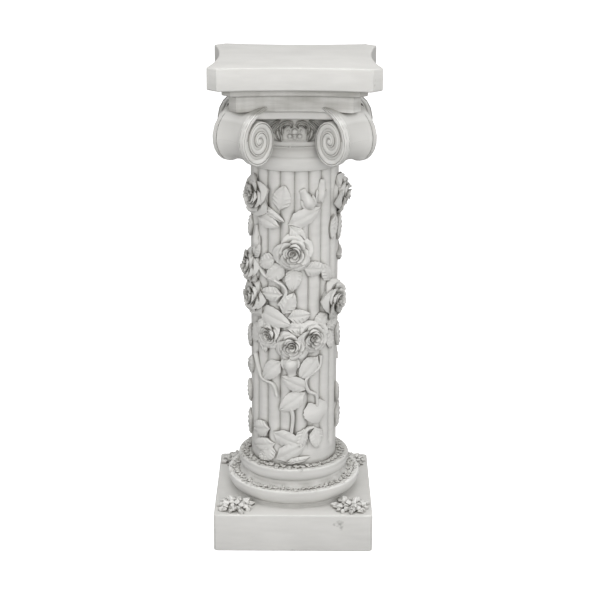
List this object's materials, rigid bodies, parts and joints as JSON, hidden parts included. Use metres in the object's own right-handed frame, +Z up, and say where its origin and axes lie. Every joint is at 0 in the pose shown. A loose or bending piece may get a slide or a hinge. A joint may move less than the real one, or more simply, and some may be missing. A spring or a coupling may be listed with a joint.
{
  "type": "column pedestal",
  "caption": "Cast column pedestal: square plinth, wreathed round base, reeded shaft with climbing roses, scroll capital and square top slab.",
  "frame": {"origin": "centre of the plinth's underside", "axes": "+Z up along the column, -Y out of the face that the picture shows, +X to that face's right"},
  "size_m": [0.2554, 0.2554, 0.762],
  "materials": {
    "cast_stone": "matte, with a grey wash in the recesses"
  },
  "bodies": {
    "root": {"column_pedestal": "cast_stone"}
  },
  "joints": []
}
